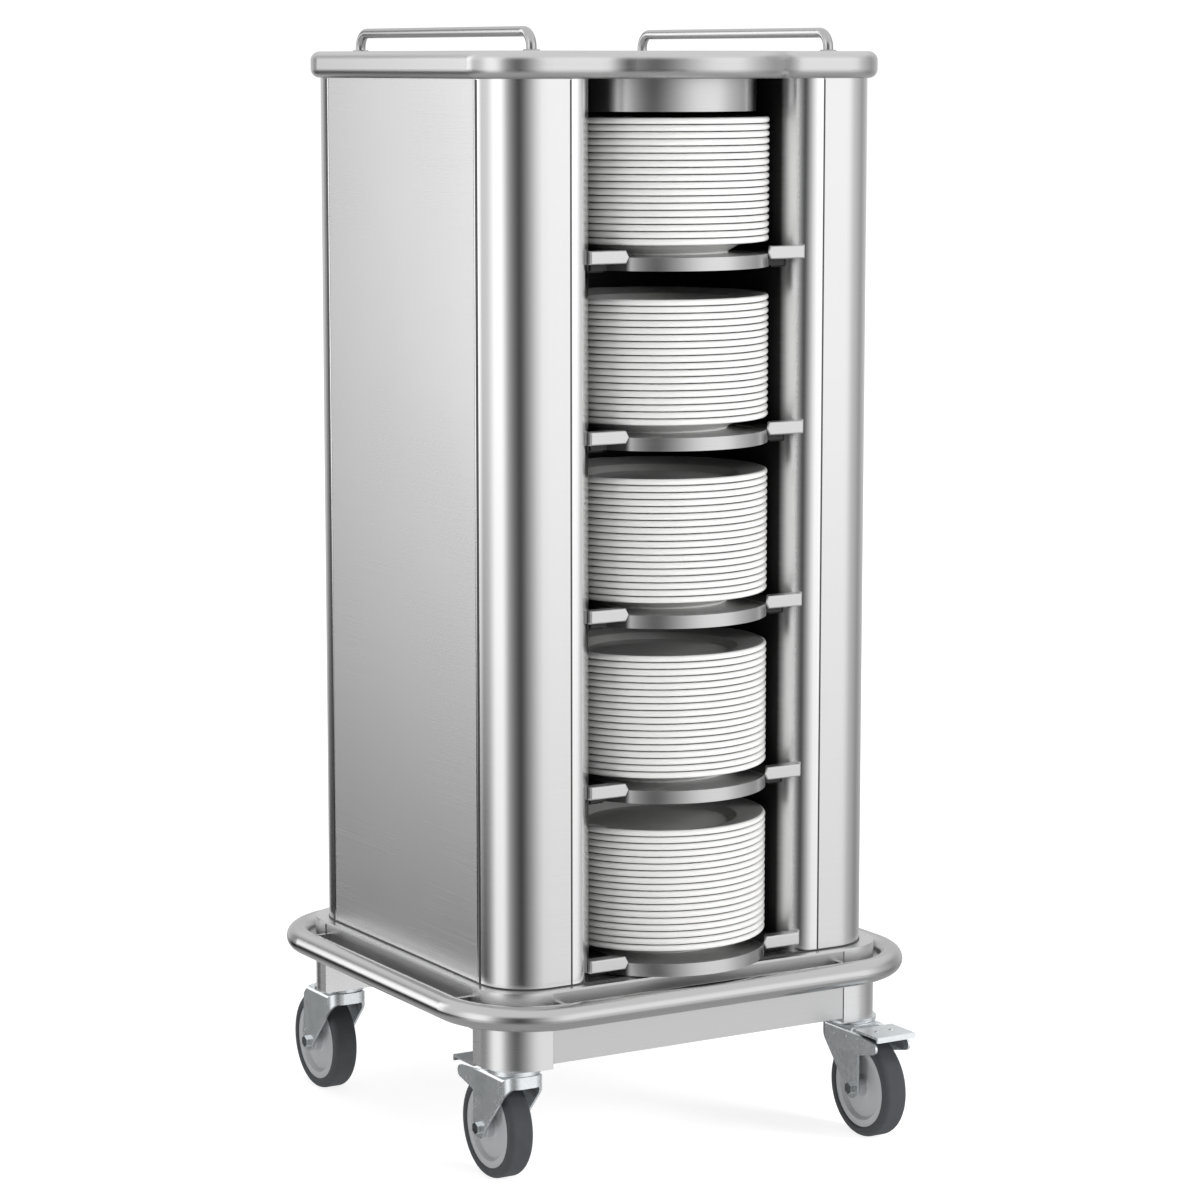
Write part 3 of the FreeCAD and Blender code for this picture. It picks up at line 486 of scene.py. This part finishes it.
world = bpy.data.worlds.new("studio")
bpy.context.scene.world = world
world.use_nodes = True
sky = Nodes(world.node_tree)
toward = sky.node("ShaderNodeTexCoord", output="Generated")
east = sky.node("ShaderNodeSeparateXYZ", {}, {0: toward}, output="X")
north = sky.node("ShaderNodeSeparateXYZ", {}, {0: toward}, output="Y")
rise = sky.node("ShaderNodeSeparateXYZ", {}, {0: toward}, output="Z")
turn = east.math("ARCTAN2", 0 - east, 0 - north) * (1 / (2 * math.pi)) + 0.5
# Degrees left of straight ahead of the front, and how bright the studio is there
RING = ((-180, 0.75), (-150, 0.7), (-120, 0.7), (-92, 0.45), (-62, 0.85), (-44, 1.38), (-30, 1.38),
        (-15, 1.32), (-1, 0.98), (12, 0.57), (25, 0.25), (32, 0.12), (37, 0.08), (43, 0.14), (50, 0.25),
        (57, 0.42), (64, 0.68), (70, 1.1), (75, 1.5), (80, 1.65), (97, 1.6), (106, 1.25), (114, 1.0),
        (134, 0.9), (141, 1.6), (145, 2.2), (152, 2.3), (154, 0.12), (160, 0.2), (170, 0.6), (180, 0.75))
# Heights of a direction above or below level, as the sine of its slope
FALL_START = 0.06
FALL_END = 0.27
SKY_START = 0.25
SKY_FULL = 0.6
GROUND_START = 0.37
GROUND_FULL = 0.64
LEFT_GROUND_LEAD = 0.07
# Shares of the light
FRONT_FALL = 0.3
LEFT_FALL = 0.69
GROUND_LIGHT = 0.5
SHADE_CUT = 0.88
SWEEP_WHITE = 1.05
ring = sky.ramp(turn, [((angle + 180) / 360, grey(level)) for angle, level in RING])
aside = sky.span(turn, 0.76, 0.86)
drop = 0 - rise
# Low down the ring falls off, more on the left than in front, and gives way to the lit ground
low = 1 - sky.span(drop, FALL_START, FALL_END) * (aside * LEFT_FALL + FRONT_FALL)
high = sky.span(rise, SKY_START, SKY_FULL)
ground = sky.span(drop + aside * LEFT_GROUND_LEAD, GROUND_START, GROUND_FULL)
glow = ring * low * (1 - high) * (1 - ground) + high + ground * GROUND_LIGHT
seen = sky.node("ShaderNodeLightPath", output="Is Camera Ray")
shade = sky.node("ShaderNodeLightPath", output="Is Diffuse Ray")
world.node_tree.nodes["Background"].inputs["Color"].default_value = grey(1.0)
soft = 1 - shade * SHADE_CUT
sky.feed(world.node_tree.nodes["Background"].inputs["Strength"],
         glow * (1 - seen) * soft + seen * SWEEP_WHITE)


def soft_light(name, spot, aim, width, height, watts):
    lamp = bpy.data.lights.new(name, "AREA")
    lamp.shape = "RECTANGLE"
    lamp.size = width
    lamp.size_y = height
    lamp.energy = watts
    holder = bpy.data.objects.new(name, lamp)
    holder.location = spot
    holder.rotation_euler = (Vector(aim) - Vector(spot)).to_track_quat("-Z", "Y").to_euler()
    holder.visible_glossy = False
    bpy.context.scene.collection.objects.link(holder)


soft_light("right box", (2.2, -3.4, 1.5), (0, -0.1, 0.75), 1.2, 1.8, 142)
soft_light("left box", (-4.0, -0.8, 1.4), (0, -0.1, 0.75), 1.2, 1.8, 38)
soft_light("overhead", (0, 0, 4.5), (0, 0, 0), 5.0, 5.0, 120)
bpy.context.scene.view_settings.view_transform = "Standard"


# Camera: as in the photograph, from the left of the front, level with the cover.
# It is a long lens, tipped down a little so that the whole trolley fills the frame.
camera_spot = Vector((-2.3205, -3.947, 1.318))
view_turn = math.radians(30.6)
view_dip = math.radians(8.25)
heading = Vector((math.sin(view_turn) * math.cos(view_dip),
                  math.cos(view_turn) * math.cos(view_dip),
                  -math.sin(view_dip)))
lens = bpy.data.cameras.new("camera")
lens.sensor_width = 36.0
lens.lens = 111.3
camera = bpy.data.objects.new("camera", lens)
camera.location = camera_spot
camera.rotation_euler = heading.to_track_quat("-Z", "Y").to_euler()
bpy.context.scene.collection.objects.link(camera)
bpy.context.scene.camera = camera
